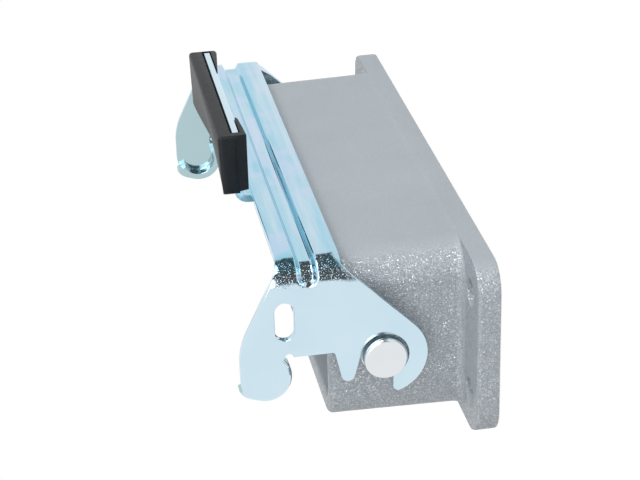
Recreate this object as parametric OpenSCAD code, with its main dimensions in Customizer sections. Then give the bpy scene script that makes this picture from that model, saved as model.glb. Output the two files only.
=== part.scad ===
// Heavy duty rectangular connector: bulkhead base housing with one locking lever.
// Z points out of the mouth, z = 0 is the mounting face, X runs along the length.
// The lever's crossbar lies on the -Y side. All sizes are in millimetres.

/* [Housing body] */
// Length of the mouth opening that takes the insert
cavity_l = 72.4; // [60:0.2:90]
// Width of the mouth opening
cavity_w = 23.2; // [20:0.2:26]
// Thickness of the two end walls at the mouth
end_wall = 2.8; // [2:0.1:4]
// Thickness of the two long walls at the mouth
side_wall = 2.8; // [2:0.1:3.4]
// Height from the mounting face to the rim of the mouth
body_h = 25.1; // [24:0.1:32]
// Draft of the outer walls in degrees
draft = 1.2; // [0.5:0.1:2]
// Corner radius of the body at the mouth
body_corner_r = 5; // [4:0.1:6]
// Corner radius of the mouth opening
cavity_corner_r = 2.6; // [1.6:0.1:3.4]
// Rounding of the outer edge of the rim
rim_r = 0.7; // [0.3:0.1:1.2]
// Width of the lead-in chamfer inside the rim
lead_in = 0.6; // [0.2:0.1:1]
// Size of the blend where the body meets the flange
foot_blend = 1.2; // [0.6:0.1:1.6]

/* [Flange] */
// Thickness of the flange
flange_t = 3.65; // [3:0.05:5]
// How far the flange stands out past each long side
flange_lip = 0.15; // [0.1:0.05:4]
// From the foot of each end wall to the screw hole centres
hole_offset = 3.55; // [3.5:0.05:6]
// From the screw hole centres to the end of the flange
hole_edge = 5; // [4:0.1:8]
// Distance between the two screw holes at one end
hole_spacing_w = 17.5; // [15:0.5:20]
// Diameter of the screw holes
hole_d = 4.4; // [3.2:0.1:4.6]
// Corner radius of the flange outline
flange_corner_r = 4.7; // [2:0.1:6]
// Rounding of the flange's upper edge
flange_edge_r = 0.8; // [0.3:0.1:1.2]

/* [Insert bosses] */
// Spacing of the insert's fixing screws along the length
insert_l = 66; // [56:0.5:67]
// Spacing of the insert's fixing screws across the width
insert_w = 16; // [14:0.5:17]
// Height of the boss tops above the mounting face
boss_h = 14; // [10:0.5:17]
// Radius of each boss
boss_r = 3.1; // [2.6:0.1:3.6]
// Diameter of the tapped bores
boss_bore_d = 2.5; // [2:0.1:3]
// Depth of the tapped bores
boss_bore_depth = 9; // [6:0.5:9.5]

/* [Flange gasket] */
// From the mouth opening to the gasket groove
gasket_inset = 0.8; // [0.7:0.1:1]
// Width of the gasket
gasket_w = 1.4; // [1:0.1:1.5]
// Depth of the gasket groove in the mounting face
gasket_depth = 1.5; // [1:0.1:2]
// Gap between the gasket and each side of its groove
gasket_gap = 0.1; // [0.05:0.05:0.2]

/* [Pivot pegs] */
// Height of the lever's pivot above the mounting face
pivot_z = 17.3; // [16:0.1:19]
// Diameter of the peg where the lever turns
peg_d = 6.8; // [6:0.1:7.6]
// Diameter of the shoulder that spaces the lever off the wall
shoulder_d = 9; // [8.4:0.1:9.6]
// Diameter of the riveted shank in the end wall
shank_d = 4.4; // [3.6:0.1:5]
// How far the peg stands out past the lever
peg_proud = 1.2; // [0.6:0.1:2]
// Bevel round the end of the peg
peg_bevel = 0.3; // [0.1:0.1:0.6]
// Gap between the shank and its bore
shank_gap = 0.05; // [0.02:0.01:0.1]

/* [Lever] */
// Thickness of the lever's sheet
sheet_t = 1.2; // [1:0.1:1.5]
// Room between each end wall's foot and the lever's side plate
side_room = 3.35; // [3:0.05:5]
// Gap between each peg's shoulder and the side plate
side_play = 0.15; // [0.1:0.05:0.3]
// Room between the long wall's foot and the crossbar
bar_room = 0.95; // [0.8:0.05:4]
// Width of the crossbar
bar_w = 9.7; // [8:0.1:12]
// From the pivot to the near edge of the crossbar, along Z
bar_start = 6.3; // [5:0.1:7]
// Outer radius of the bends between the crossbar and the side plates
bend_r = 4; // [3.4:0.1:5]
// Gap between the hook and the peg
peg_gap = 0.4; // [0.2:0.05:0.6]
// Width of metal round the hook
hook_w = 3; // [2.4:0.1:3.6]
// Straight part of each side plate's cut edge beside the crossbar
edge_drop = 0.95; // [0.5:0.05:1.5]
// Radius of the bowed back edge of each side plate
back_r = 20; // [16:0.5:24]

/* [Latch gap] */
// From the pivot to the tooth's side of the gap for the hood's peg
gap_start = 7.6; // [7.2:0.1:8]
// Width of the gap for the hood's peg
gap_w = 6.6; // [6:0.1:8]
// Height of the gap's closed end above the pivot
gap_top = 1.5; // [1:0.1:2.4]
// Radius of the relief in the gap's corner
gap_relief = 0.7; // [0.4:0.1:1]
// How far the tooth hangs below the pivot
tooth_drop = 3.8; // [3:0.1:4.2]
// Radius of the tooth's tip
tooth_tip_r = 1.05; // [0.8:0.05:1.3]
// Radius of the round curl at the free end
curl_r = 4.2; // [3.6:0.05:4.6]
// How far the curl's centre lies below the pivot
curl_drop = 2.4; // [1:0.1:2.6]
// Depth of the rim that is bent inwards round the curl
curl_depth = 3.2; // [2.4:0.1:4.2]
// Outer bend radius of the curl's rim
curl_bend = 1.7; // [1.4:0.1:2]

/* [Bead and slot] */
// Width of the pressed bead at the outer face
bead_w = 3.3; // [3:0.1:4.5]
// Depth of the pressed bead
bead_depth = 1; // [0.6:0.1:1]
// Slope of the bead's walls, as width lost on each side
bead_slope = 0.8; // [0.6:0.1:1]
// How far the bead lies from the crossbar's middle, away from the flange
bead_shift = 0.4; // [0:0.1:0.6]
// Wall that the bead's inner side adds on each side
bead_wall = 0.5; // [0.3:0.1:0.8]
// Angle on each bend at which the bead ends, up from the side plate
bead_end_angle = 26; // [15:1:40]
// Width of the slot in each side plate
slot_w = 3; // [2:0.1:3.6]
// Length of the slot
slot_l = 6.4; // [5:0.1:7]
// Distance of the slot's centre from the pivot, along Z
slot_out = 15.4; // [14.6:0.1:16]
// Distance of the slot's centre from the pivot, towards the crossbar
slot_up = 7.8; // [7:0.1:8]
// Width of the raised pad round the slot
ring_w = 8.4; // [6:0.1:9]
// Length of the raised pad round the slot
ring_l = 9.4; // [8:0.1:10]
// Height of the raised pad
ring_h = 0.2; // [0.1:0.05:0.4]

/* [Tab and grip] */
// Length of the tab that stands up from the crossbar
tab_l = 35; // [28:0.5:38]
// Reach of the tab past the crossbar's edge
tab_reach = 2.8; // [2.6:0.1:3.4]
// Height of the tab above the crossbar's outer face
tab_h = 10.4; // [8:0.1:13]
// Inner radius of the bend between the crossbar and the tab
tab_bend = 1; // [0.6:0.1:1.4]
// Gap between the grip and the tab, on each side
grip_gap = 0.1; // [0.05:0.05:0.2]
// Thickness of the grip's outer wall
grip_outer = 2.1; // [1.8:0.1:3.2]
// Thickness of the grip's two ears
grip_ear = 1.1; // [0.8:0.1:1.4]
// Thickness of the grip's end walls
grip_end = 1.9; // [1.2:0.1:3]
// Length of each ear along the tab
ear_l = 8.5; // [6:0.1:12]
// Slope at the inner end of each ear
ear_slope = 2; // [0:0.2:4]
// Depth by which the tab's edge lies below the grip's top
grip_over = 0.8; // [0.4:0.1:1.6]
// Gap between the grip and the crossbar's outer face
grip_lift = 0.6; // [0.3:0.1:1]
// Depth of the finger recess in the middle of the grip's front
recess_depth = 1.2; // [0.6:0.1:1.4]
// Depth of the finger recess at its two shoulders
recess_shoulder = 0.8; // [0.3:0.1:1]
// Distance between the two shoulders
recess_l = 23.6; // [16:0.2:32]
// Height of the finger recess
recess_h = 6; // [2:0.1:8]
// Chamfer at the grip's ends, on the side of the ears
end_chamfer = 1.4; // [0.4:0.1:1.8]
// Bevel along the grip's upper edges
grip_bevel = 0.5; // [0.2:0.1:0.8]
// Lean of the grip's front face in degrees
grip_lean = 1.6; // [0:0.1:3]

/* [Hidden] */
$fn = 72;
hull_fn = 32;
// A cut runs this far past the face that it opens
past = 1;

// Housing
body_l = cavity_l + 2 * end_wall;
body_w = cavity_w + 2 * side_wall;
draft_in = (body_h - flange_t) * tan(draft);
foot_l = body_l + 2 * draft_in;
foot_w = body_w + 2 * draft_in;
foot_corner_r = body_corner_r + draft_in;
hole_spacing_l = foot_l + 2 * hole_offset;
flange_l = hole_spacing_l + 2 * hole_edge;
flange_w = foot_w + 2 * flange_lip;
gasket_l_in = cavity_l + 2 * gasket_inset;
gasket_w_in = cavity_w + 2 * gasket_inset;
gasket_r_in = cavity_corner_r + gasket_inset;

// Lever and pegs
plate_in = foot_l / 2 + side_room;
plate_out = plate_in + sheet_t;
bar_out = foot_w / 2 + bar_room + sheet_t;
bar_end = bar_start + bar_w;
hook_in_r = peg_d / 2 + peg_gap;
hook_out_r = hook_in_r + hook_w;
seat_x = body_l / 2 + (body_h - pivot_z - shoulder_d / 2) * tan(draft);
peg_end = plate_out + peg_proud;
gap_end = gap_start + gap_w;
curl_out = gap_end + curl_r;
back_c = [curl_out + curl_r - back_r, 1];
tab_in = bar_end + tab_reach - sheet_t;
tab_top = bar_out + tab_h;
bead_mid = (bar_start + bar_end) / 2 + bead_shift;
// The curl's rim starts at the nose beside the gap and sweeps round to the back
rim_start = 150;
rim_sweep = 185;

// Grip
grip_in = tab_in - grip_gap - grip_ear;
grip_front = tab_in + sheet_t + grip_gap + grip_outer;
grip_bottom = bar_out + grip_lift;
grip_top = tab_top + grip_over;
grip_l = tab_l + 2 * (grip_end + grip_gap);

// Points along an arc of radius r round c, from angle a to angle b
function arc(c, r, a, b, n = 8) = [for (i = [0:n]) let (t = a + (b - a) * i / n) c + r * [cos(t), sin(t)]];

// Angle at which a line from point p touches a circle of radius r round c
function touch_angle(p, c, r) = atan2(p[1] - c[1], p[0] - c[0]) - acos(min(1, r / norm(p - c)));

// The same on the other side of the circle
function touch_angle_back(p, c, r) = atan2(p[1] - c[1], p[0] - c[0]) + acos(min(1, r / norm(p - c)));

// Flat rectangle with round corners
module round_rect(l, w, r) {
    square([l - 2 * r, w], center = true);
    square([l, w - 2 * r], center = true);
    for (x = [-1, 1], y = [-1, 1]) translate([x * (l / 2 - r), y * (w / 2 - r)]) circle(r);
}

// Flat slot with round ends, upright
module round_slot(w, l) {
    square([w, l - w], center = true);
    for (s = [-1, 1]) translate([0, s * (l - w) / 2]) circle(w / 2);
}

// Solid block over four corner posts, which are turned from half a profile
module post_block(l, w, r, profile) {
    hull() for (x = [-1, 1], y = [-1, 1]) translate([x * (l / 2 - r), y * (w / 2 - r), 0])
        rotate_extrude($fn = hull_fn) polygon(profile);
}

// Puts a flat shape upright along X: its x is the distance from the pivot towards
// the mouth, and its y the distance towards the crossbar
module lever_side(x0, x1) {
    translate([x0, 0, pivot_z]) rotate([0, -90, 180]) linear_extrude(x1 - x0) children();
}

module body_outside() {
    top = body_corner_r - rim_r;
    translate([0, 0, flange_t / 2]) post_block(foot_l, foot_w, foot_corner_r, concat(
        [[0, 0], [foot_corner_r, 0], [foot_corner_r, flange_t / 2]],
        arc([top, body_h - flange_t / 2 - rim_r], rim_r, 0, 90, 4),
        [[0, body_h - flange_t / 2]]));
    foot_steps = [[foot_blend, 0.35 * foot_blend], [0.35 * foot_blend, foot_blend]];
    for (s = foot_steps) translate([0, 0, flange_t / 2])
        post_block(foot_l + 2 * s[0], foot_w - 2 * flange_lip, foot_corner_r, [
            [0, 0], [foot_corner_r, 0], [foot_corner_r, flange_t / 2],
            [foot_corner_r - 0.6 * s[0], flange_t / 2 + s[1]], [0, flange_t / 2 + s[1]]]);
}

module flange_plate() {
    linear_extrude(flange_t - flange_edge_r) round_rect(flange_l, flange_w, flange_corner_r);
    translate([0, 0, flange_t / 2]) post_block(flange_l, flange_w, flange_corner_r, concat(
        [[0, 0], [flange_corner_r, 0]],
        arc([flange_corner_r - flange_edge_r, flange_t / 2 - flange_edge_r], flange_edge_r, 0, 90, 4),
        [[0, flange_t / 2]]));
}

module insert_boss() {
    cylinder(h = boss_h, r = boss_r);
    reach_x = (cavity_l - insert_l) / 2 + past;
    reach_y = (cavity_w - insert_w) / 2 + past;
    translate([-boss_r, 0, 0]) cube([boss_r + reach_x, reach_y, boss_h]);
    translate([0, -boss_r, 0]) cube([reach_x, boss_r + reach_y, boss_h]);
}

module each_corner(l, w) {
    for (x = [0, 1], y = [0, 1]) mirror([x, 0, 0]) mirror([0, y, 0]) translate([l / 2, w / 2, 0]) children();
}

module each_end() {
    for (x = [0, 1]) mirror([x, 0, 0]) children();
}

module housing() {
    color([0.68, 0.70, 0.72]) difference() {
        union() {
            difference() {
                union() {
                    flange_plate();
                    body_outside();
                }
                translate([0, 0, -past]) linear_extrude(body_h + 2 * past)
                    round_rect(cavity_l, cavity_w, cavity_corner_r);
                lead_r = cavity_corner_r + lead_in;
                translate([0, 0, body_h - lead_in])
                    post_block(cavity_l + 2 * lead_in, cavity_w + 2 * lead_in, lead_r, [
                        [0, 0], [cavity_corner_r, 0], [lead_r, lead_in],
                        [lead_r, lead_in + past], [0, lead_in + past]]);
            }
            each_corner(insert_l, insert_w) insert_boss();
        }
        translate([0, 0, -past]) linear_extrude(past + gasket_depth) gasket_ring(gasket_gap);
        each_corner(hole_spacing_l, hole_spacing_w) translate([0, 0, -past])
            cylinder(h = flange_t + 2 * past, d = hole_d);
        each_corner(insert_l, insert_w) translate([0, 0, boss_h - boss_bore_depth])
            cylinder(h = boss_bore_depth + past, d = boss_bore_d);
        each_end() translate([0, 0, pivot_z]) rotate([0, 90, 0]) {
            translate([0, 0, cavity_l / 2 - past])
                cylinder(h = end_wall + 3 * past, d = shank_d + 2 * shank_gap);
            translate([0, 0, seat_x]) cylinder(h = end_wall, d = shoulder_d + 4 * side_play);
        }
    }
}

module gasket_ring(grow) {
    difference() {
        out = gasket_w + grow;
        round_rect(gasket_l_in + 2 * out, gasket_w_in + 2 * out, gasket_r_in + out);
        round_rect(gasket_l_in - 2 * grow, gasket_w_in - 2 * grow, gasket_r_in - grow);
    }
}

module flange_gasket() {
    color([0.12, 0.12, 0.12]) linear_extrude(gasket_depth) gasket_ring(0);
}

// Turned peg: riveted shank, shoulder and journal
module pivot_peg() {
    color([0.86, 0.86, 0.87]) translate([0, 0, pivot_z]) rotate([0, 90, 0]) rotate_extrude() polygon([
        [0, cavity_l / 2], [shank_d / 2, cavity_l / 2], [shank_d / 2, seat_x], [shoulder_d / 2, seat_x],
        [shoulder_d / 2, plate_in - side_play], [peg_d / 2, plate_in - side_play],
        [peg_d / 2, peg_end - peg_bevel], [peg_d / 2 - peg_bevel, peg_end], [0, peg_end]]);
}

module pivot_peg_left() {
    mirror([1, 0, 0]) pivot_peg();
}

module pivot_peg_right() {
    pivot_peg();
}

// Outline of a side plate without its hook, curl and tooth
module plate_web() {
    corner = [bar_start, bar_out - edge_drop];
    back = [bar_end, bar_out];
    a = touch_angle_back(corner, [0, 0], hook_out_r);
    b = touch_angle(back, back_c, back_r);
    polygon(concat([[0, 0], hook_out_r * [cos(a), sin(a)], corner, [bar_start, bar_out], back],
        arc(back_c, back_r, b, 0, 10), [[curl_out + curl_r, -curl_drop], [gap_end, -curl_drop],
        [gap_end + 0.35, 0.4], [gap_end + gap_relief, gap_top], [0, gap_top]]));
}

// Tooth between the peg and the gap
module plate_tooth() {
    tip = [gap_start - 1.85, tooth_tip_r - tooth_drop];
    polygon([[hook_in_r * 0.95, gap_top], [hook_in_r * 0.9, 0.6], tip - [tooth_tip_r * 0.93, 0.35],
        tip + [tooth_tip_r * 0.96, -0.25], [gap_start, 0.9], [gap_start, gap_top]]);
    translate(tip) circle(tooth_tip_r);
}

// Side plate and curl, seen along X
module plate_outline() {
    tip_w = 1.4;
    tip_x = -hook_in_r * 0.34;
    ring_low = -(hook_in_r + hook_out_r) / 2 * 0.95;
    difference() {
        union() {
            plate_web();
            circle(hook_out_r);
            translate([curl_out, -curl_drop]) circle(curl_r);
        }
        circle(hook_in_r);
        translate([tip_x - tip_w / 2, -hook_out_r - past]) square([hook_out_r * 2, hook_out_r + past + 0.6]);
        translate([gap_end + gap_relief * 0.9, gap_top]) circle(gap_relief);
    }
    translate([tip_x - tip_w / 2, ring_low]) round_slot(tip_w, hook_w * 0.85);
    plate_tooth();
}

// Lever body: a channel with round corners, seen along Z
module channel_section() {
    straight = plate_out - bend_r;
    leg = bar_out + hook_out_r + past;
    difference() {
        union() {
            translate([-plate_out, bend_r - bar_out]) square([2 * plate_out, leg - bend_r]);
            translate([-straight, -bar_out]) square([2 * straight, bend_r + past]);
            for (s = [-1, 1]) translate([s * straight, bend_r - bar_out]) circle(bend_r);
        }
        translate([-plate_in, bend_r - bar_out]) square([2 * plate_in, leg]);
        translate([-straight, sheet_t - bar_out]) square([2 * straight, bend_r + past]);
        for (s = [-1, 1]) translate([s * straight, bend_r - bar_out]) circle(bend_r - sheet_t);
    }
}

// Section of the bead: depth below the face at face_r, against the lever's width
module bead_section(face_r, wide, over) {
    floor_w = wide - 2 * bead_slope;
    polygon([[face_r + over, -wide / 2], [face_r + over, wide / 2], [face_r, wide / 2],
        [face_r - bead_depth, floor_w / 2], [face_r - bead_depth, -floor_w / 2], [face_r, -wide / 2]]);
}

// Solid along the bead's path: the crossbar and part of both bends
module bead_path(face_r, wide, over) {
    straight = plate_out - bend_r;
    translate([0, bend_r - bar_out, pivot_z + bead_mid]) {
        translate([-straight, 0, 0]) rotate([90, 0, 90]) linear_extrude(2 * straight)
            mirror([1, 0]) bead_section(face_r, wide, over);
        each_end() translate([straight, 0, 0]) rotate([0, 0, -90])
            rotate_extrude(angle = 90 - bead_end_angle) bead_section(face_r, wide, over);
    }
}

// Tab that stands up from the crossbar and carries the grip
module tab() {
    bend_c = [tab_in - tab_bend, bar_out + tab_bend];
    lever_side(-tab_l / 2, tab_l / 2) {
        translate([bar_end - past, bar_out - sheet_t]) square([bend_c[0] - bar_end + past, sheet_t]);
        translate([tab_in, bend_c[1]]) square([sheet_t, tab_top - bend_c[1]]);
        intersection() {
            difference() {
                translate(bend_c) circle(tab_bend + sheet_t);
                translate(bend_c) circle(tab_bend);
            }
            translate([bend_c[0], bar_out - sheet_t]) square(tab_bend + sheet_t);
        }
    }
}

// Turns what is drawn round the curl's centre, from the nose to the back of the left plate
module round_curl() {
    translate([-plate_out, 0, pivot_z]) rotate([0, -90, 180]) translate([curl_out, -curl_drop, 0])
        rotate([0, 0, rim_start]) rotate_extrude(angle = rim_sweep) children();
}

// Section of the curl's rim: a quarter bend and a short straight wall
module rim_section() {
    bend_c = [curl_r - curl_bend, curl_bend];
    translate([curl_r - sheet_t, curl_bend]) square([sheet_t, curl_depth - curl_bend]);
    intersection() {
        difference() {
            translate(bend_c) circle(curl_bend);
            translate(bend_c) circle(curl_bend - sheet_t);
        }
        translate([bend_c[0], 0]) square(curl_bend);
    }
}

module locking_lever() {
    color([0.74, 0.82, 0.88]) {
        difference() {
            union() {
                intersection() {
                    translate([0, 0, pivot_z - hook_out_r - past])
                        linear_extrude(hook_out_r + curl_out + curl_r + 2 * past) channel_section();
                    lever_side(-plate_out - past, plate_out + past) plate_outline();
                }
                bead_path(bend_r - sheet_t, bead_w + 2 * bead_wall, sheet_t / 2);
                each_end() lever_side(-plate_out - ring_h, -plate_in)
                    translate([slot_out, slot_up]) round_slot(ring_w, ring_l);
            }
            bead_path(bend_r, bead_w, past);
            each_end() {
                lever_side(-plate_out - past, -plate_in + past)
                    translate([slot_out, slot_up]) round_slot(slot_w, slot_l);
                round_curl() translate([curl_r - curl_bend, -past])
                    square([curl_bend + past, sheet_t + 2 * past]);
            }
        }
        each_end() round_curl() rim_section();
        tab();
    }
}

// Front-to-back section of the grip, with its leaning front
module grip_section() {
    lean = (grip_top - grip_bottom) * tan(grip_lean);
    polygon([[grip_in, grip_bottom], [grip_front, grip_bottom], [grip_front + lean, grip_top - grip_bevel],
        [grip_front + lean - grip_bevel, grip_top], [grip_in + grip_bevel / 2, grip_top],
        [grip_in, grip_top - grip_bevel / 2]]);
}

// Opening between the grip's two ears, narrower towards the crossbar
module ear_window(pocket) {
    foot = pocket - ear_l;
    height = grip_top - grip_bottom;
    translate([0, 0, pivot_z + grip_in - past]) linear_extrude(tab_in - grip_in + past) polygon([
        [-foot + ear_slope, past - grip_bottom], [foot - ear_slope, past - grip_bottom],
        [foot, -grip_bottom - height / 2],
        [foot, -grip_top - past], [-foot, -grip_top - past], [-foot, -grip_bottom - height / 2]]);
}

// Hollow in the lower front of the grip, deepest in the middle
module finger_recess(half) {
    back = [grip_front - recess_shoulder, grip_front - recess_depth];
    over = grip_front + past;
    translate([0, past - grip_bottom, pivot_z]) rotate([90, 0, 0]) linear_extrude(recess_h + past) polygon([
        [-half, grip_front], [-recess_l / 2, back[0]], [0, back[1]], [recess_l / 2, back[0]],
        [half, grip_front], [half, over], [-half, over]]);
}

// Corner cut at the right end of the grip, on the side of the ears
module grip_end_cut(half, all_b) {
    translate([0, -all_b[0], pivot_z]) rotate([90, 0, 0]) linear_extrude(all_b[1]) polygon([
        [half, grip_in + end_chamfer], [half - end_chamfer, grip_in], [half - end_chamfer, grip_in - past],
        [half + past, grip_in - past], [half + past, grip_in + end_chamfer]]);
}

module lever_grip() {
    half = grip_l / 2;
    pocket = tab_l / 2 + grip_gap;
    all_b = [grip_bottom - past, grip_top - grip_bottom + 2 * past];
    color([0.13, 0.13, 0.14]) difference() {
        lever_side(-half, half) grip_section();
        lever_side(-pocket, pocket) translate([tab_in - grip_gap, all_b[0]])
            square([sheet_t + 2 * grip_gap, all_b[1]]);
        ear_window(pocket);
        finger_recess(half);
        each_end() grip_end_cut(half, all_b);
    }
}

housing();
flange_gasket();
pivot_peg_left();
pivot_peg_right();
locking_lever();
lever_grip();
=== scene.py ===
"""Visual model of a bulkhead connector base: die-cast housing, locking lever, grip, pegs and gasket.

Lengths are millimetres in the row frame, and raw_mesh() turns them into metres. The lever and its grip are
drawn in a side view: a runs along Z from the pivot axis, and b along -Y. On the unrolled sheet t runs along
the crossbar from its middle, and on round both folds down the plates.
"""

import math

import bmesh
import bpy
import numpy as np
from mathutils import Matrix
from mathutils.geometry import delaunay_2d_cdt

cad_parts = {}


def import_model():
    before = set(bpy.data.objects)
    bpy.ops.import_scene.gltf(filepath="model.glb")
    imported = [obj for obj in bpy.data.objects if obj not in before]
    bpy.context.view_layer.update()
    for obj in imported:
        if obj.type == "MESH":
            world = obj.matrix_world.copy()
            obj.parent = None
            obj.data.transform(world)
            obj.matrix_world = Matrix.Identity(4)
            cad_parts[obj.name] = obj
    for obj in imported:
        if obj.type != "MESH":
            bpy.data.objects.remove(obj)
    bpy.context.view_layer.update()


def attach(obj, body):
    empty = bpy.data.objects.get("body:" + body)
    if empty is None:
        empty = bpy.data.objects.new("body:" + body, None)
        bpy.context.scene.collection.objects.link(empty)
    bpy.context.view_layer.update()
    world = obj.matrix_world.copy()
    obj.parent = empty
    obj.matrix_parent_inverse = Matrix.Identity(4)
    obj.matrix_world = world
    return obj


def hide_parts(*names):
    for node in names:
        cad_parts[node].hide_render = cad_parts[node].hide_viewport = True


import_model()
MM = 0.001
CORNERS = ((-1, -1), (-1, 1), (1, -1), (1, 1))

# ---------------------------------------------------------------- housing sizes
PIVOT_Z = 17.3  # pivot axis above the mounting face
HEIGHT = 25.1
DRAFT = math.tan(math.radians(1.2))
MOUTH = (78.0, 28.8, 5.0)  # length, width and corner radius of the body at its top
CAVITY = (72.4, 23.2, 2.6)
FLANGE = (96.0, 30.0, 4.7)
FLANGE_T = 3.65
FOOT = 1.3  # height of the fillet between body and flange
MOUTH_EDGE, MOUTH_LEAD, FLANGE_EDGE = 0.75, 0.6, 0.8  # rounding radii
HOLE_X, HOLE_Y, HOLE_R = 43.0, 8.75, 2.2
BOSS_X, BOSS_Y, BOSS_R = 33.0, 8.0, 3.1
BOSS_LOW, BOSS_TOP = 0.3, 14.0
WEB_X, WEB_Y = 37.0, 12.4  # how far the webs from the bosses run into the walls
TAPPED_R = 1.25

# ---------------------------------------------------------------- lever sizes
SHEET = 1.2
PLATE = 44.0  # outer face of a side plate, along X
BAR = 17.0  # outer face of the crossbar, as b
BEND = 4.0  # outer radius of the folds between them
FOLD_START = PLATE - BEND  # as t
FOLD_END = FOLD_START + BEND * math.pi / 2
BAR_LOW, BAR_HIGH = 6.3, 16.0  # edges of the crossbar, as a
BEAD_MID = (BAR_LOW + BAR_HIGH) / 2 + 0.4
BEAD_HALF, BEAD_SLOPE, BEAD_DEPTH = 1.65, 0.8, 1.0
BEAD_END = FOLD_START + BEND * math.radians(64)
SLOT_A, SLOT_B, SLOT_HALF, SLOT_R = 15.4, 7.8, 1.7, 1.5
PAD_R, PAD_SLOPE, PAD_RISE = 4.3, 0.6, 0.06
HOOK_IN, HOOK_OUT = 3.8, 6.8
BOW = 12.0  # radius of the plates' back edge beside the curl
CURL = (18.4, -2.15, 4.05)  # centre (a, b) and outer radius
CURL_BEND, CURL_DEPTH = 1.35, 3.2
RIM = (150, 335)  # the curl's rim, in degrees round its centre
RIM_FLARE = 0.58
EDGE = 0.14  # rounding of the sheet's cut edges

# ---------------------------------------------------------------- grip sizes
GRIP_X = 19.5  # half length
GRIP_LOW, GRIP_TOP = 18.2, 28.2  # as b
GRIP_BACK = 16.4
GRIP_FRONT = (21.02, 21.28)  # at the underside and at the top
TAB = (-17.6, 18.5)
POCKET = (-17.75, 19.05)
POCKET_BACK, POCKET_FRONT = 17.5, 19.05

# ---------------------------------------------------------------- stage
DARK_SIDE = -116  # direction of the room's dark side, in degrees from +X
DARK_SPAN = 125
WHITE = (1, 1, 1, 1)
LENS, SENSOR = 106.59, 36.0
CAMERA = (
    (-0.178805, 0.436331, -0.881841, -0.291279),
    (0.026244, -0.893851, -0.447594, -0.14655),
    (-0.983535, -0.103175, 0.148374, 0.068504),
    (0, 0, 0, 1),
)


# ---------------------------------------------------------------- mesh helpers
def put(name, data):
    """A new object with this data, in the scene."""
    thing = bpy.data.objects.new(name, data)
    bpy.context.scene.collection.objects.link(thing)
    return thing


def raw_mesh(name, points, faces):
    """Clean mesh data from points in mm and faces."""
    data = bpy.data.meshes.new(name)
    data.from_pydata((np.asarray(points, float) * MM).tolist(), [], [list(map(int, f)) for f in faces])
    clean(data)
    return data


def mesh(name, points, faces, body, stands_for, slot, sharp=35):
    """An object from points in mm and faces; it rides on body and stands for the CAD node."""
    data = raw_mesh(name, points, faces)
    shade(data, sharp)
    piece = put(name, data)
    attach(piece, body)
    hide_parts(stands_for)
    return piece


def clean(data):
    """Merges doubles, drops slivers and turns every face outwards."""
    work = bmesh.new()
    work.from_mesh(data)
    bmesh.ops.remove_doubles(work, verts=work.verts, dist=2e-6)
    bmesh.ops.dissolve_degenerate(work, edges=work.edges, dist=1e-7)
    bmesh.ops.recalc_face_normals(work, faces=work.faces)
    work.to_mesh(data)
    work.free()
    data.update()


def shade(data, sharp):
    """Smooth shading, with edges sharp above this many degrees."""
    data.shade_smooth()
    data.set_sharp_from_angle(angle=math.radians(sharp))


def cutter(points, faces):
    """A throw-away object for a boolean step."""
    return put("cutter", raw_mesh("cutter", points, faces))


def combine(piece, tools, operation):
    """Cuts the tools from the piece, or joins them to it, and removes the tools."""
    for tool in tools:
        step = piece.modifiers.new("step", "BOOLEAN")
        step.operation, step.solver, step.object = operation, "EXACT", tool
    settle(piece)
    for tool in tools:
        bpy.data.objects.remove(tool)


def settle(piece):
    """Applies the piece's modifiers to its mesh."""
    graph = bpy.context.evaluated_depsgraph_get()
    result = bpy.data.meshes.new_from_object(piece.evaluated_get(graph))
    piece.modifiers.clear()
    old, piece.data = piece.data, result
    bpy.data.meshes.remove(old)


def soften(piece, width, segments, angle):
    """Bevels the piece's edges that are sharper than angle, and shades it smooth."""
    step = piece.modifiers.new("soft edges", "BEVEL")
    step.width, step.segments, step.limit_method = width * MM, segments, "ANGLE"
    step.angle_limit = math.radians(angle)
    step.harden_normals = True
    piece.data.shade_smooth()


def grid_faces(rows, columns, close_rows=False, close_columns=True):
    """Quads between a grid's neighbours; a closed direction joins its last line to its first."""
    down = np.arange(rows - (not close_rows))
    across = np.arange(columns - (not close_columns))
    i, j = np.meshgrid(down, across, indexing="ij")
    a = i * columns + j
    b = i * columns + (j + 1) % columns
    c = ((i + 1) % rows) * columns + (j + 1) % columns
    d = ((i + 1) % rows) * columns + j
    return np.stack([a, b, c, d], -1).reshape(-1, 4)


def tube(rows, columns):
    """Faces of a grid that is closed across its columns, with a cap on the first and the last row."""
    last = (rows - 1) * columns
    return grid_faces(rows, columns).tolist() + [list(range(columns)), list(range(last, last + columns))]


def loft(sections):
    """Closed skin through rings of equal point count, the last joined to the first."""
    return np.concatenate(sections), grid_faces(len(sections), len(sections[0]), close_rows=True)


def arc(centre, radius, start, end, count):
    """Points on a circle from angle start to angle end, in degrees."""
    angle = np.radians(np.linspace(start, end, count))
    return np.stack([centre[0] + radius * np.cos(angle), centre[1] + radius * np.sin(angle)], 1)


def quarter(count):
    """Pairs (sin, 1 - cos) at count angles from 0 to 90 degrees."""
    angles = [math.radians(t) for t in np.linspace(0, 90, count)]
    return [(math.sin(u), 1 - math.cos(u)) for u in angles]


def ease(share):
    """share^2 * (3 - 2 * share), with share held between 0 and 1."""
    share = np.clip(share, 0, 1)
    return share * share * (3 - 2 * share)


def ring(length, width, radius, z):
    """Rounded rectangle at height z: four corner arcs of the same point count, joined by the straights."""
    corner = 10
    angle = np.linspace(0, math.pi / 2, corner)
    turn = (np.arange(4) * math.pi / 2)[:, None] + angle[None, :]
    sign = np.array([[1, 1], [-1, 1], [-1, -1], [1, -1]])
    centre = sign * [length / 2 - radius, width / 2 - radius]
    x = centre[:, :1] + radius * np.cos(turn)
    y = centre[:, 1:] + radius * np.sin(turn)
    return np.stack([x.ravel(), y.ravel(), np.full(4 * corner, z)], 1)


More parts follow.
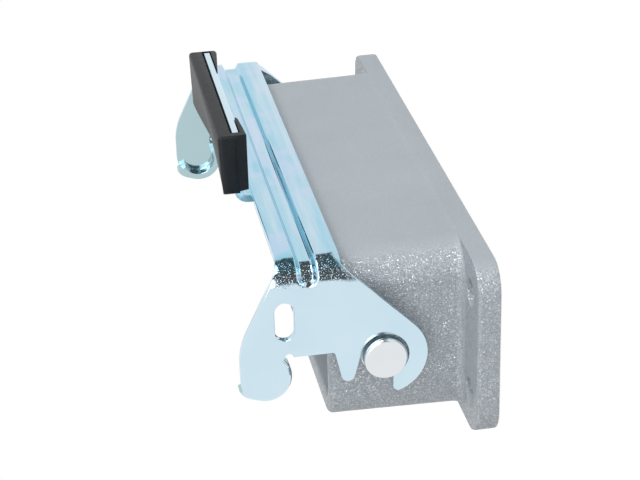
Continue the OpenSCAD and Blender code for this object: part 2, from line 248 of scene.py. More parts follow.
def grown(size, more, z):
    """Ring for a (length, width, corner radius) at height z, let out by more on every side."""
    return ring(size[0] + 2 * more, size[1] + 2 * more, size[2] + more, z)


def turned(profile, count):
    """Surface of revolution about +Z: a profile of (radius, height) swept round in count steps."""
    profile = np.asarray(profile, float)
    angle = np.linspace(0, 2 * math.pi, count, endpoint=False)
    x = profile[:, :1] * np.cos(angle)
    y = profile[:, :1] * np.sin(angle)
    z = np.repeat(profile[:, 1:], count, 1)
    return np.stack([x, y, z], -1).reshape(-1, 3), tube(len(profile), count)


def block(x, y, z):
    """Box between two values on each axis."""
    plan = ((x[0], y[0]), (x[1], y[0]), (x[1], y[1]), (x[0], y[1]))
    points = np.array([[a, b, c] for c in z for a, b in plan], float)
    faces = [(0, 3, 2, 1), (4, 5, 6, 7), (0, 1, 5, 4), (1, 2, 6, 5), (2, 3, 7, 6), (3, 0, 4, 7)]
    return points, faces


def from_side(x, a, b):
    """Row-frame points from x and the side view's a and b."""
    x, a, b = np.broadcast_arrays(x, a, b)
    return np.stack([x, -b, a + PIVOT_Z], -1)


def prism(outline, low, high):
    """Prism along X from low to high over a side-view outline of (a, b) points."""
    a, b = np.asarray(outline, float).T
    return np.concatenate([from_side(x, a, b) for x in (low, high)]), tube(2, len(a))


def slab(plan, low, high):
    """Prism between two heights b over a plan of (x, a) points."""
    x, a = np.asarray(plan, float).T
    return np.concatenate([from_side(x, a, b) for b in (low, high)]), tube(2, len(x))


def join(*parts):
    """Several (points, faces) as one."""
    points, faces, base = [], [], 0
    for p, f in parts:
        points.append(p)
        faces += [[i + base for i in g] for g in f]
        base += len(p)
    return np.concatenate(points), faces


# ---------------------------------------------------------------- housing
def wall_size(z):
    """Body outline at height z: the mouth's size, growing with the draft towards the flange."""
    grow = 2 * (HEIGHT - z) * DRAFT
    return MOUTH[0] + grow, MOUTH[1] + grow, MOUTH[2] + grow / 2


def housing_skin():
    """Rings of the casting: up the outside, over the mouth's edge, down the cavity, through the gasket's
    groove, and round the flange."""
    rings = []
    for sine, up in quarter(8):
        out, z = 1 - sine, FLANGE_T + FOOT * up
        length, width, radius = wall_size(z)
        rings.append(ring(length + 3 * out, width + 0.2 * out, radius + out, z))
    rings += [ring(*wall_size(z), z) for z in (8, 14, 20)]
    for sine, back in quarter(7):
        z = HEIGHT - MOUTH_EDGE + MOUTH_EDGE * sine
        rings.append(grown(wall_size(z), -MOUTH_EDGE * back, z))
    for sine, drop in quarter(5):
        rings.append(grown(CAVITY, MOUTH_LEAD * (1 - sine), HEIGHT - MOUTH_LEAD * drop))
    rings += [ring(*CAVITY, z) for z in (20, 12, 4, 0.3)]
    rings += [grown(CAVITY, more, z) for more, z in ((0.25, 0), (0.7, 0), (0.7, 1.5), (2.3, 1.5), (2.3, 0))]
    rings += [grown(FLANGE, -back, z) for back, z in ((0.35, 0), (0.1, 0.1), (0, 0.35))]
    for sine, more in quarter(7):
        back, z = FLANGE_EDGE * more, FLANGE_T - FLANGE_EDGE + FLANGE_EDGE * sine
        rings.append(ring(FLANGE[0] - 2 * back, FLANGE[1] - 0.2 * back, FLANGE[2] - back, z))
    return loft(rings)


def housing():
    """Die-cast base: one closed skin, with four bosses and their webs joined inside, and the screw holes and
    the bosses' blind holes cut."""
    piece = mesh("housing_casting", *housing_skin(), "base", "housing", "powder_coat")
    core, bevel = 0.4, 0.4
    post = [(core, BOSS_LOW), (BOSS_R, BOSS_LOW), (BOSS_R, BOSS_TOP - bevel), (BOSS_R - bevel, BOSS_TOP),
            (core, BOSS_TOP)]
    bosses = []
    for sx, sy in CORNERS:
        points, faces = turned(post, 32)
        bosses.append(cutter(points + [BOSS_X * sx, BOSS_Y * sy, 0], faces))
        for near_x, near_y in ((BOSS_X - BOSS_R, BOSS_Y), (BOSS_X, BOSS_Y - BOSS_R)):
            x = sorted((near_x * sx, WEB_X * sx))
            y = sorted((near_y * sy, WEB_Y * sy))
            bosses.append(cutter(*block(x, y, (BOSS_LOW, BOSS_TOP))))
    combine(piece, bosses, "UNION")
    lip = 0.3
    screw = [(HOLE_R, -1), (HOLE_R, FLANGE_T - lip), (HOLE_R + 0.09, FLANGE_T - 0.1),
             (HOLE_R + lip, FLANGE_T), (HOLE_R + lip, 8)]
    tapped = [(TAPPED_R, 5), (TAPPED_R, BOSS_TOP - lip), (TAPPED_R + lip, BOSS_TOP), (TAPPED_R + lip, 16)]
    holes = []
    for sx, sy in CORNERS:
        points, faces = turned(screw, 40)
        holes.append(cutter(points + [HOLE_X * sx, HOLE_Y * sy, 0], faces))
        points, faces = turned(tapped, 24)
        holes.append(cutter(points + [BOSS_X * sx, BOSS_Y * sy, 0], faces))
    combine(piece, holes, "DIFFERENCE")
    clean(piece.data)
    shade(piece.data, 40)
    even = piece.modifiers.new("even normals", "WEIGHTED_NORMAL")
    even.keep_sharp = True
    return piece


def gasket():
    """Flat ring in the flange's groove: one loft of eight rings with bevelled edges."""
    section = ((0.8, 0.2), (0.8, 1.4), (0.9, 1.5), (2.1, 1.5), (2.2, 1.4), (2.2, 0.2), (2.0, 0.0), (1.0, 0.0))
    rings = [grown(CAVITY, more, z) for more, z in section]
    return mesh("gasket_ring", *loft(rings), "base", "flange_gasket", "black_rubber")


def peg(side, node):
    """Turned peg about the pivot axis: shank in the wall, shoulder, journal and an end with a round edge.
    The outline is (radius, distance from the middle)."""
    shank, shoulder, journal, round_edge, tip = 2.2, 3.6, 3.4, 0.45, 45.2
    outline = [(shank - 0.3, 36.1), (shank, 36.3), (shank, 39.2), (shoulder, 39.2), (shoulder, 42.5),
               (journal, 42.65), (journal, tip - round_edge)]
    outline += arc((journal - round_edge, tip - round_edge), round_edge, 0, 80, 6).tolist()
    outline += [(2.4, tip), (1.2, tip)]
    points, faces = turned(outline, 72)
    points = np.stack([side * points[:, 2], points[:, 1], points[:, 0] + PIVOT_Z], 1)
    return mesh(f"peg_{node}", points, faces, "base", node, "bright_steel")


# ---------------------------------------------------------------- lever
def unroll(b):
    """Distance t along the sheet for a height b: FOLD_END + (BAR - BEND) - b on a plate, and
    FOLD_END - BEND * asin((b - (BAR - BEND)) / BEND) on a fold."""
    b = np.asarray(b, float)
    start = BAR - BEND
    turn = np.arcsin(np.clip((b - start) / BEND, 0, 1))
    return np.where(b <= start, FOLD_END + start - b, FOLD_END - BEND * turn)


def plate_height(t):
    """Height b at distance t along the sheet, on the plates: BAR - BEND - (|t| - FOLD_END)."""
    return BAR - BEND - (np.abs(t) - FOLD_END)


def pressed(t, a, pad=PAD_RISE):
    """How far the sheet is pushed inwards at (t, a): the long bead, less the raised pad round the slot.
    BEAD_DEPTH * ease((BEAD_HALF - off) / BEAD_SLOPE) - pad * ease((PAD_R - away) / PAD_SLOPE), where off is
    the distance from the bead's middle line and away that from the slot's."""
    off = np.hypot(a - BEAD_MID, np.maximum(np.abs(t) - BEAD_END, 0))
    away = np.hypot(a - SLOT_A, np.maximum(np.abs(plate_height(t) - SLOT_B) - SLOT_HALF, 0))
    return BEAD_DEPTH * ease((BEAD_HALF - off) / BEAD_SLOPE) - pad * ease((PAD_R - away) / PAD_SLOPE)


def folded(t, a, deep):
    """Sheet point at distance t from the middle, a along Z from the pivot, and deep under the outer face.
    Bar: x = t, y = -(BAR - deep). Folds: a circle of radius BEND. Plates: x = +-(PLATE - deep)."""
    along = np.abs(t)
    turn = np.clip((along - FOLD_START) / BEND, 0, math.pi / 2)
    x = np.sign(t) * (np.minimum(along, FOLD_START) + (BEND - deep) * np.sin(turn))
    y = -(BAR - BEND + (BEND - deep) * np.cos(turn)) + np.maximum(along - FOLD_END, 0)
    return np.stack([x, y, a + PIVOT_Z], -1)


def spread(path, step=0.7):
    """The open path with extra points, so that no stretch is longer than step."""
    out = []
    for p, q in zip(path[:-1], path[1:]):
        n = max(1, math.ceil(np.hypot(*(q - p)) / step))
        out.append(p + (q - p) * (np.arange(n) / n)[:, None])
    return np.concatenate(out + [path[-1:]])


def touch(point, centre, radius, side):
    """Angle in degrees at which a line from point touches the circle, on the given side."""
    d = np.subtract(point, centre)
    return math.degrees(math.atan2(d[1], d[0]) + side * math.acos(radius / np.hypot(*d)))


def plate_path():
    """Edge of the right plate as (a, b), in two paths: down the cut edge, round the hook, tooth and gap to
    where the curl's rim starts, and from where it ends up the back edge."""
    pivot, centre, radius = (0, 0), CURL[:2], CURL[2]
    cut, corner = (BAR_LOW, 16.05), (BAR_HIGH, BAR)
    bow = (centre[0] + radius - BOW, 1)
    before = np.concatenate([
        [(BAR_LOW, BAR), cut],
        arc(pivot, HOOK_OUT, touch(cut, pivot, HOOK_OUT, 1), 253, 26),
        arc((-2.0, -5.6), 0.72, -75, 0, 6),  # tip of the hook
        arc(pivot, HOOK_IN, 250, 9, 34),
        arc((5.75, -2.75), 1.05, 197, 347, 12),  # tooth
        arc((8.15, 1.0), 0.5, 175, 90, 5),  # inner corner of the latch gap
        arc((14.83, 1.5), 0.7, 178, -8, 9),  # its relief
        arc(centre, radius, 127, RIM[0], 5),
    ])
    after = np.concatenate([
        arc(centre, radius, RIM[1], 360, 5),
        arc(bow, BOW, 0, touch(corner, bow, BOW, -1), 16),
        [corner],
    ])
    return spread(before), spread(after)


def flat_outline():
    """Edge of the unrolled sheet as (t, a), and 1 where it is a free edge or 0 where a rim joins it."""
    before, after = plate_path()
    rim_line = arc(CURL[:2], CURL[2] - CURL_BEND, *RIM, 36)
    side = np.concatenate([before, rim_line, after])
    free = np.concatenate([np.ones(len(before)), np.zeros(len(rim_line)), np.ones(len(after))])
    right = np.stack([unroll(side[:, 1]), side[:, 0]], 1)
    left = right[::-1] * [-1, 1]
    return np.concatenate([right, left]), np.concatenate([free, free[::-1]])


def stadium(side, radius, count=14):
    """Closed loop as (t, a) round the slot of one side, radius away from the slot's middle line."""
    top, low = float(unroll(SLOT_B + SLOT_HALF)), float(unroll(SLOT_B - SLOT_HALF))
    half = abs(low - top) / 2
    mid = side * (low + top) / 2
    one = arc((mid + half, SLOT_A), radius, -90, 90, count)
    two = arc((mid - half, SLOT_A), radius, 90, 270, count)
    return np.concatenate([one, two])


def inside(points, loop):
    """True for each point inside the closed loop, by counting crossings."""
    p, q = loop, np.roll(loop, -1, 0)
    x, y = points[:, :1], points[:, 1:]
    crosses = (p[:, 1] > y) != (q[:, 1] > y)
    rise = np.where(q[:, 1] == p[:, 1], 1, q[:, 1] - p[:, 1])
    at = p[:, 0] + (y - p[:, 1]) / rise * (q[:, 0] - p[:, 0])
    return (crosses & (x < at)).sum(1) % 2 == 1


def on_sheet(points, net):
    """True for each point inside the net's outline and outside its two slots."""
    outline, left_slot, right_slot = net
    return inside(points, outline) & ~inside(points, left_slot) & ~inside(points, right_slot)


def outward(loop):
    """Unit normal at each point of a closed loop, pointing out of its area."""
    ahead = np.roll(loop, -1, 0) - loop
    ahead /= np.maximum(np.hypot(*ahead.T), 1e-9)[:, None]
    along = ahead + np.roll(ahead, 1, 0)
    along /= np.maximum(np.hypot(*along.T), 1e-9)[:, None]
    following = np.roll(loop, -1, 0)
    turn = np.sign((loop[:, 0] * following[:, 1] - following[:, 0] * loop[:, 1]).sum())
    return np.stack([along[:, 1], -along[:, 0]], 1) * turn


def filling(net):
    """Points between the net's edges: rows along the bead, columns round the folds and loops round the
    slots, and none of them close to an edge."""
    rows = np.array([0, 0.4, 0.75, 0.85, 0.98, 1.1, 1.25, 1.38, 1.52, 1.65, 1.8, 2.4, 3.2, 4.0])
    rows = np.unique(np.concatenate([-rows, rows])) + BEAD_MID
    fold = np.linspace(39.6, 46.9, 24)
    columns = np.concatenate([-fold[::-1], np.linspace(-36, 36, 13), fold])
    points = [np.stack(np.meshgrid(columns, rows), -1).reshape(-1, 2)]
    points += [stadium(side, r, 20) for side in (-1, 1) for r in (2.6, 3.76, 3.9, 4.05, 4.2, 4.36)]
    points = np.concatenate(points)
    edges = np.concatenate(net)
    gap = np.sqrt(((points[:, None, :] - edges[None, :, :]) ** 2).sum(-1).min(1))
    return points[on_sheet(points, net) & (gap > 0.25)]


def edge_rows(points, normals, free):
    """Rows of (t, a, depth) that carry the sheet's edge from the outer face to the inner one: a quarter
    round of radius EDGE, the cut wall, and a quarter round again."""
    rows = []
    round_steps = quarter(4)
    for k, (out, deep) in enumerate(round_steps + round_steps[::-1]):
        outer = k < len(round_steps)
        place = points + normals * (out * EDGE * free)[:, None]
        depth = deep * EDGE if outer else SHEET - deep * EDGE
        rows.append(np.column_stack([place, np.where(free > 0, depth, 0 if outer else SHEET)]))
    return rows


def lever_sheet():
    """The folded sheet: the unrolled outline is filled with triangles, pressed with the bead and pad, and
    folded; the inner face is the same net one thickness deeper, and the edge rows close it."""
    outline, free = flat_outline()
    loops = [(outline, free, 1)]
    for slot in (stadium(-1, SLOT_R), stadium(1, SLOT_R)):
        loops.append((slot, np.ones(len(slot)), -1))
    net, bounds, marks, start = [], [], [], 0
    for path, is_free, way in loops:
        normal = outward(path) * way
        net.append(path - normal * (EDGE * is_free)[:, None])
        n = len(path)
        bounds.append((start, n, normal, is_free))
        marks += [(start + i, start + (i + 1) % n) for i in range(n)]
        start += n
    flat = np.concatenate(net + [filling(net)])
    verts, _, tris, *_ = delaunay_2d_cdt([tuple(p) for p in flat], marks, [], 1, 1e-7)
    verts = np.array([tuple(v) for v in verts])
    tris = np.array([tri for tri in tris if len(tri) == 3])
    tris = tris[on_sheet(verts[tris].mean(1), net)]
    t, a = verts.T
    points = [folded(t, a, pressed(t, a)), folded(t, a, pressed(t, a, 0) + SHEET)]
    faces = tris.tolist() + (tris[:, ::-1] + len(verts)).tolist()
    base = 2 * len(verts)
    for begin, n, normal, is_free in bounds:
        rows = edge_rows(flat[begin:begin + n], normal, is_free)
        points += [folded(t, a, deep + pressed(t, a)) for t, a, deep in (row.T for row in rows)]
        faces += (grid_faces(len(rows), n) + base).tolist()
        base += len(rows) * n
    return np.concatenate(points), faces


def rim():
    """The curl's rim on the right plate: a quarter bend and a straight wall turned round the curl's centre
    from RIM[0] to RIM[1] degrees. The section is (radius, depth). Over the last 45 degrees the radius grows
    by RIM_FLARE * ease(rise) * share, where share falls to 0 at the bend's start."""
    start = CURL[2] - CURL_BEND
    section = np.concatenate([
        arc((start, CURL_BEND), CURL_BEND, -90, 0, 9),
        arc((CURL[2] - EDGE, CURL_DEPTH - EDGE), EDGE, 0, 90, 4),
        arc((CURL[2] - SHEET + EDGE, CURL_DEPTH - EDGE), EDGE, 90, 180, 4),
        arc((start, CURL_BEND), CURL_BEND - SHEET, 0, -90, 6),
    ])
    angle = np.radians(np.linspace(*RIM, 48))[:, None]
    rise = (np.degrees(angle) - RIM[1] + 45) / 40
    share = np.clip((section[:, 0] - start) / CURL_BEND, 0, 1)
    radius = section[:, 0] + RIM_FLARE * ease(rise) * share
    a = CURL[0] + np.cos(angle) * radius
    b = CURL[1] + np.sin(angle) * radius
    return from_side(PLATE - section[:, 1], a, b).reshape(-1, 3), tube(*a.shape)


def tab():
    """The tab above the crossbar: a quarter bend and an upright with bevelled top edges."""
    bend, bend_r, root, top = (16.6, 18.0), 2.2, 15.95, 28.05
    inner, outer = bend[0] + bend_r - SHEET, bend[0] + bend_r
    outline = np.concatenate([
        [(root, BAR - SHEET)],
        arc(bend, bend_r, -90, 0, 9),
        [(outer, top - 0.15), (outer - 0.14, top), (inner + 0.14, top), (inner, top - 0.15)],
        arc(bend, bend_r - SHEET, 0, -90, 7),
        [(root, BAR)],
    ])
    return prism(outline, *TAB)


def lever():
    """The lever in one piece: folded sheet, two curled rims and the tab."""
    points, faces = rim()
    other = points * [-1, 1, 1], [f[::-1] for f in faces]
    points, faces = join(lever_sheet(), (points, faces), other, tab())
    return mesh("lever_steel", points, faces, "lever", "locking_lever", "zinc_plate", 30)


# ---------------------------------------------------------------- grip
def thumb_hollow():
    """Cutter for the hollow in the grip's front. Its floor lies under the leaning front by
    1.25 * (min((19.5 - x) / 15, ((x + 21) / 24.5)^0.6) - ((b - 17) / 9.2)^2) mm, with a crease where the
    two slopes along x meet; where that is negative it lies above the front."""
    x, b = np.meshgrid(np.linspace(-20, 20, 61), np.linspace(15, 29, 29), indexing="ij")
    front = 21.0 + (b - 17.6) * 0.0272
    slope = np.minimum((GRIP_X - x) / 15, (np.maximum(x + 21, 0) / 24.5) ** 0.6)
    floor = front - 1.25 * (slope - ((b - 17) / 9.2) ** 2)
    points = from_side(x, floor, b).reshape(-1, 3)
    top = points.copy()
    top[:, 2] = 45
    rows, columns = x.shape
    faces = grid_faces(rows, columns, close_columns=False)
    i = np.arange(rows * columns).reshape(rows, columns)
    edge = np.concatenate([i[0], i[1:, -1], i[-1, -2::-1], i[-2:0:-1, 0]])
    wall = np.stack([edge, np.roll(edge, -1), np.roll(edge, -1) + i.size, edge + i.size], 1)
    faces = np.concatenate([faces, faces[:, ::-1] + i.size, wall])
    return np.concatenate([points, top]), faces.tolist()


def grip():
    """Moulded grip: a leaning block with round edges over the tab, cut with the tab's pocket, the slopes
    that thin the two ears to a point, the chamfer at the near end, a step under it and the thumb hollow."""
    section = [(GRIP_BACK, GRIP_LOW), (GRIP_FRONT[0], GRIP_LOW), (GRIP_FRONT[1], GRIP_TOP),
               (GRIP_BACK, GRIP_TOP)]
    points, faces = prism(section, -GRIP_X, GRIP_X)
    piece = mesh("grip_moulding", points, faces, "lever", "lever_grip", "black_plastic")
    soften(piece, 0.6, 4, 25)
    settle(piece)
    below, above, far = 16, 30, 21  # heights b and x well outside the grip
    pocket = [(x, a) for a, ends in ((POCKET_BACK, POCKET), (POCKET_FRONT, POCKET[::-1])) for x in ends]
    ears = [(9.1, 17.7), (9.1, POCKET_BACK), (18.9, 16.4), (far, 16.2), (far, 15), (-far, 15), (-far, 16.3),
            (-18.6, 16.6), (-12.3, 17.1), (-11.8, 17.25), (-11.6, 17.7)]
    chamfer = [(-far, 18.3), (-19.2, 18.3), (-18.5, 16.3), (-18.5, 15), (-far, 15)]
    step = [(-far, 15), (far, 15), (far, 18.05), (-far, 18.05)]
    cuts = [
        slab(pocket, below, above),
        slab(ears, below, above),
        slab(chamfer, below, above),
        slab(step, below, 18.55),
        thumb_hollow(),
    ]
    combine(piece, [cutter(*cut) for cut in cuts], "DIFFERENCE")
    clean(piece.data)
    shade(piece.data, 32)
    return piece


# ---------------------------------------------------------------- node graphs
class Value:
    """A socket in a node graph; the operators on it add Math nodes."""

    def __init__(self, graph, socket):
        self.graph, self.socket = graph, socket

    def _math(self, operation, first, second):
        return self.graph.node("ShaderNodeMath", {"operation": operation}, {0: first, 1: second})

    def __add__(self, other):
        return self._math("ADD", self, other)

    __radd__ = __add__

    def __sub__(self, other):
        return self._math("SUBTRACT", self, other)

    def __rsub__(self, other):
        return self._math("SUBTRACT", other, self)

    def __mul__(self, other):
        return self._math("MULTIPLY", self, other)

    __rmul__ = __mul__

    def __truediv__(self, other):
        return self._math("DIVIDE", self, other)

    def __pow__(self, other):
        return self._math("POWER", self, other)

    def limit(self, low=0, high=1):
        """The value held between low and high."""
        return self._math("MAXIMUM", self._math("MINIMUM", self, high), low)


class Graph:
    """A material's or the world's nodes; node() makes any of them."""

    def __init__(self, owner):
        owner.use_nodes = True
        self.tree = owner.node_tree
        self.tree.nodes.clear()

    def node(self, kind, settings=None, inputs=None, out=0):
        """A node with its settings made first, then its inputs set or linked; returns its output."""
        made = self.tree.nodes.new(kind)
        for key, value in (settings or {}).items():
            setattr(made, key, value)
        for key, value in (inputs or {}).items():
            if isinstance(value, Value):
                self.tree.links.new(value.socket, made.inputs[key])
            else:
                made.inputs[key].default_value = value
        return Value(self, made.outputs[out]) if made.outputs else made

    def millimetres(self):
        """Object coordinates in mm."""
        place = self.node("ShaderNodeTexCoord", out="Object")
        return self.node("ShaderNodeVectorMath", {"operation": "SCALE"}, {0: place, "Scale": 1000.0})

    def part(self, place, axis):
        """One axis of a vector."""
        return self.node("ShaderNodeSeparateXYZ", {}, {0: place}, out=axis)

    def vector(self, operation, first, second=(0, 0, 0), **more):
        """Vector Math on one or two vectors."""
        return self.node("ShaderNodeVectorMath", {"operation": operation}, {0: first, 1: second, **more})

    def noise(self, place, scale, detail=2.0, rough=0.5):
        """Noise from 0 to 1, with scale in cells per mm."""
        inputs = {"Vector": place, "Scale": scale, "Detail": detail, "Roughness": rough}
        return self.node("ShaderNodeTexNoise", {}, inputs)

    def blend(self, share, first, second):
        """Mix of two colours."""
        return self.node("ShaderNodeMix", {"data_type": "RGBA"}, {0: share, 6: first, 7: second}, out=2)

    def bump(self, height, distance, strength):
        """Surface relief from a height in units of distance, in mm."""
        inputs = {"Height": height, "Distance": distance * MM, "Strength": strength}
        return self.node("ShaderNodeBump", {}, inputs)

    def surface(self, **sockets):
        """Principled shader into the material output; keys are socket names with _ for a space."""
        inputs = {key.replace("_", " "): value for key, value in sockets.items()}
        shader = self.node("ShaderNodeBsdfPrincipled", {}, inputs)
        self.node("ShaderNodeOutputMaterial", {}, {"Surface": shader})

    def light(self, kind, strength):
        """White Emission or Background."""
        return self.node("ShaderNode" + kind, {}, {"Color": WHITE, "Strength": strength})

    def mix(self, share, first, second):
        """Mix of two shaders."""
        return self.node("ShaderNodeMixShader", {}, {0: share, 1: first, 2: second})


def paint(piece, build):
    """Gives the piece the material that build(graph) draws."""
    material = bpy.data.materials.new(piece.name + "_finish")
    build(Graph(material))
    piece.data.materials.clear()
    piece.data.materials.append(material)


# ---------------------------------------------------------------- finishes
def powder_coat(g):
    """Grey powder coat: fine relief, cloudy grain, and small metallic flakes that lie each at its own slant;
    the flakes and grain are painted fainter on the long walls, as painted light that stands in for the light
    washing the speckle out there."""
    dark, pale, metal = (0.31, 0.345, 0.37, 1), (0.485, 0.53, 0.57, 1), (0.66, 0.68, 0.71, 1)
    place = g.millimetres()
    across = g.part(g.node("ShaderNodeTexCoord", out="Normal"), "Y")
    # painted light: 1 on most faces, down to 0.15 on the long walls facing +-Y, whose speckle the light
    # washes out
    speckle_fade_on_lit_walls = 1.0 - ((across * across - 0.55) * 3.0).limit() * 0.85
    cell = g.node("ShaderNodeTexVoronoi", {}, {"Vector": place, "Scale": 6.6, "Randomness": 1.0}, out="Color")
    pick = g.node("ShaderNodeSeparateColor", {}, {0: cell})
    cloud = g.noise(place, 0.12)
    grain = g.noise(place, 3.6, 2.0, 0.6)
    shade_of = 0.54 + (pick - 0.5) * 0.75 * speckle_fade_on_lit_walls + (grain - 0.5) * 0.7 * speckle_fade_on_lit_walls + (cloud - 0.5) * 0.2
    flake = ((pick - 0.72) * 4.0).limit() * speckle_fade_on_lit_walls
    colour = g.blend(flake * 0.9, g.blend(shade_of.limit(), dark, pale), metal)
    relief = g.bump(grain * speckle_fade_on_lit_walls + g.noise(place, 0.9) * 0.5, 0.06, 0.7)
    slant = g.vector("SCALE", g.vector("SUBTRACT", cell, (0.5, 0.5, 0.5)), Scale=speckle_fade_on_lit_walls * 0.55)
    relief = g.vector("NORMALIZE", g.vector("ADD", relief, slant))
    g.surface(Base_Color=colour, Roughness=0.48 - flake * 0.2, Metallic=flake * 0.75, Normal=relief,
              Specular_IOR_Level=0.4)


def zinc_plate(g):
    """Blue-passivated zinc: glossy metal, bluer and streaked along the crossbar with violet clouds, and
    finely crazed where the sheet is bent; the bead walls are painted darker cyan as painted shade in the
    groove, and the plates' inner faces darker grey-green as painted shade."""
    blue, pale_blue = (0.56, 0.74, 0.84, 1), (0.66, 0.80, 0.88, 1)
    cyan, bar_blue, violet = (0.30, 0.61, 0.75, 1), (0.54, 0.70, 0.81, 1), (0.60, 0.66, 0.86, 1)
    inner_face_shade_tint = (0.43, 0.58, 0.62, 1)
    place = g.millimetres()
    x, y, z = (g.part(place, axis) for axis in "XYZ")
    side = (x * x) ** 0.5
    cloud = g.noise(place, 0.09, 3.0)
    plate = g.blend(cloud, blue, pale_blue)

    stretched = g.node("ShaderNodeCombineXYZ", {}, {0: x * 0.04, 1: y * 0.5, 2: z * 0.55})
    streak = ((g.noise(stretched, 1.0, 3.0, 0.6) - 0.32) * 2.8).limit()
    # painted shade: the bead's two walls are pulled towards the darker cyan, standing in for the shade in the
    # groove
    groove = z - PIVOT_Z - BEAD_MID
    wall = 1.0 - (((groove * groove) ** 0.5 - 1.3) ** 2 * 5.0).limit()
    bar = g.blend(streak * (1.0 - wall * 0.6), cyan, bar_blue)
    clouds = ((g.noise(place, 0.14) - 0.5) * 4.0).limit(0, 0.45)
    bar = g.blend(clouds * (1.0 - wall), bar, violet)

    on_bar = ((-15.2 - y) * 1.2).limit() * ((18.6 + y) * 1.5).limit()
    # painted shade: the plates' inner faces, which face the housing, are tinted darker grey-green
    inner = ((43.5 - side) * 3.0).limit() * ((side - 40.2) * 3.0).limit() * ((y + 12.5) * 2.0).limit()
    tint = g.blend(inner, g.blend(on_bar, plate, bar), inner_face_shade_tint)
    on_fold = ((side - 40.4) * 1.5).limit() * ((-13.3 - y) * 1.2).limit()
    craze = ((g.noise(place, 4.6, 1.0) - 0.6) * 5.0).limit()
    relief = g.bump(g.noise(place, 1.6) * 0.1 + craze * on_fold, 0.026, 0.85)
    g.surface(Base_Color=tint, Roughness=0.1 + (cloud - 0.5) * 0.05, Metallic=1.0, Normal=relief)


def bright_steel(g):
    """Turned steel: fine rings about the pivot axis and a faint stain."""
    place = g.millimetres()
    across, up = g.part(place, "Y"), g.part(place, "Z") - PIVOT_Z
    away = (across * across + up * up) ** 0.5
    marks = g.node("ShaderNodeMath", {"operation": "SINE"}, {0: away * 26.0})
    stain = g.noise(place, 0.5, 3.0)
    colour = g.blend(stain, (0.74, 0.775, 0.80, 1), (0.80, 0.83, 0.85, 1))
    g.surface(Base_Color=colour, Roughness=0.25 + (stain - 0.5) * 0.12, Metallic=1.0,
              Normal=g.bump(marks, 0.002, 0.2))


def black_plastic(g):
    """Moulded black plastic with a fine spark-eroded grain and slightly paler clouds."""
    place = g.millimetres()
    grain = g.noise(place, 2.4, 3.0, 0.6)
    cloud = g.noise(place, 0.2)
    colour = g.blend(cloud, (0.006, 0.009, 0.012, 1), (0.014, 0.017, 0.021, 1))
    g.surface(Base_Color=colour, Roughness=0.45 + (grain - 0.5) * 0.25, Normal=g.bump(grain, 0.03, 0.4),
              Specular_IOR_Level=0.26)


def black_rubber(g):
    """Matt rubber with a dusty cloud."""
    place = g.millimetres()
    dust = g.noise(place, 0.6, 4.0)
    colour = g.blend(dust, (0.02, 0.02, 0.02, 1), (0.045, 0.044, 0.043, 1))
    g.surface(Base_Color=colour, Roughness=0.75 + (dust - 0.5) * 0.2, Normal=g.bump(dust, 0.03, 0.4))


paint(housing(), powder_coat)
paint(gasket(), black_rubber)
paint(peg(-1, "pivot_peg_left"), bright_steel)
paint(peg(1, "pivot_peg_right"), bright_steel)
paint(lever(), zinc_plate)
paint(grip(), black_plastic)


# ---------------------------------------------------------------- stage
def seen(g, camera_sees, mirror_sees, other):
    """camera_sees straight from the camera, mirror_sees in metal or glass, and other for lighting rays."""
    rays = ("Is Camera Ray", "Is Glossy Ray", "Is Transmission Ray")
    straight, gloss, through = (g.node("ShaderNodeLightPath", out=name) for name in rays)
    return g.mix(straight, g.mix((gloss + through).limit(), other, mirror_sees), camera_sees)


def dark_side(g, x, y):
    """1 towards the dark side of the room, which spans DARK_SPAN degrees round DARK_SIDE, and 0 elsewhere."""
    along = (x * x + y * y) ** 0.5 + 1e-6
    turn = math.radians(DARK_SIDE)
    facing = (x * math.cos(turn) + y * math.sin(turn)) / along
    return ((facing - math.cos(math.radians(DARK_SPAN / 2))) * 8.0).limit()


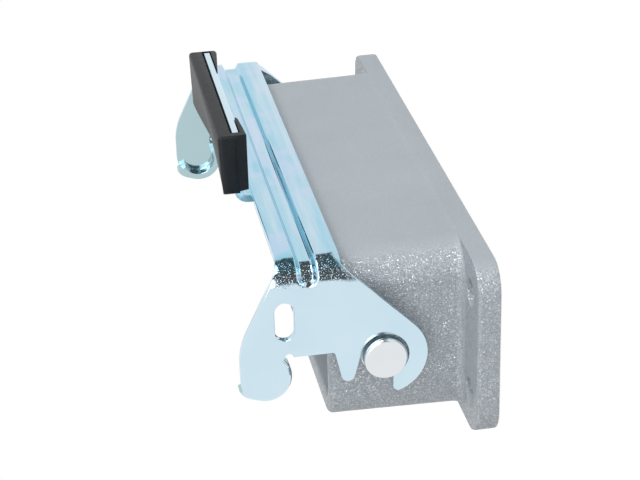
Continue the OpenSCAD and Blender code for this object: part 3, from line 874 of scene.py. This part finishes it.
def floor():
    """White floor under the flange. The camera sees a soft shadow near the object and plain white further
    off; mirrors see the floor dark on the room's dark side; to other rays it is matt grey."""
    half = 6000 * MM
    corners = [(-half, -half, 0), (half, -half, 0), (half, half, 0), (-half, half, 0)]
    data = bpy.data.meshes.new("floor")
    data.from_pydata(corners, [], [(0, 1, 2, 3)])
    plate = put("floor", data)
    plate.location.z = -0.0002
    material = bpy.data.materials.new("floor_finish")
    g = Graph(material)
    place = g.millimetres()
    x, y = (g.part(place, axis) for axis in "XY")
    away = (x * x + y * y) ** 0.5
    matt, lit = (g.node("ShaderNodeBsdfDiffuse", {}, {"Color": (c, c, c, 1)}) for c in (0.55, 0.36))
    near = g.node("ShaderNodeAddShader", {}, {0: lit, 1: g.light("Emission", 0.86)})
    white = g.light("Emission", 1.0)
    camera_sees = g.mix(((away - 60.0) / 90.0).limit(), near, white)
    share = dark_side(g, x, y) * ((away - 90.0) / 30.0).limit()
    mirror_sees = g.mix(share, white, g.light("Emission", 0.1))
    g.node("ShaderNodeOutputMaterial", {}, {"Surface": seen(g, camera_sees, mirror_sees, matt)})
    data.materials.append(material)


def world():
    """White surround for the camera; mirrors see its dark side, and for lighting it is softer overhead."""
    room = bpy.data.worlds.new("studio")
    bpy.context.scene.world = room
    g = Graph(room)
    place = g.node("ShaderNodeTexCoord", out="Generated")
    x, y, z = (g.part(place, axis) for axis in "XYZ")
    soft = g.light("Background", 0.56 - z * 0.16)
    share = dark_side(g, x, y) * ((0.45 - z) * 6.0).limit()
    mirror_sees = g.light("Background", 1.0 - share * 0.9)
    g.node("ShaderNodeOutputWorld", {}, {"Surface": seen(g, g.light("Background", 1.0), mirror_sees, soft)})


def lamp(name, place, aim, size, power):
    """Soft square lamp at place, aimed at aim; both in mm."""
    data = bpy.data.lights.new(name, "AREA")
    data.shape, data.size, data.energy = "SQUARE", size * MM, power
    light = put(name, data)
    place, aim = np.array(place, float), np.array(aim, float)
    back = (place - aim) / np.linalg.norm(place - aim)
    side = np.cross((0, 0.3, 1), back)
    side /= np.linalg.norm(side)
    axes = np.stack([side, np.cross(back, side), back, place * MM], 1)
    light.matrix_world = Matrix([*axes.tolist(), [0, 0, 0, 1]])


def camera():
    """Camera with a long lens, placed in metres."""
    data = bpy.data.cameras.new("camera")
    data.sensor_width, data.lens = SENSOR, LENS
    data.clip_start, data.clip_end = 0.01, 20
    eye = put("camera", data)
    eye.matrix_world = Matrix(CAMERA)
    bpy.context.scene.camera = eye


floor()
world()
lamp("key", (-150, -520, 240), (0, 0, 15), 420, 2.0)
lamp("fill", (-470, -130, 190), (0, 0, 15), 320, 0.72)
camera()
bpy.context.scene.view_settings.view_transform = "Standard"
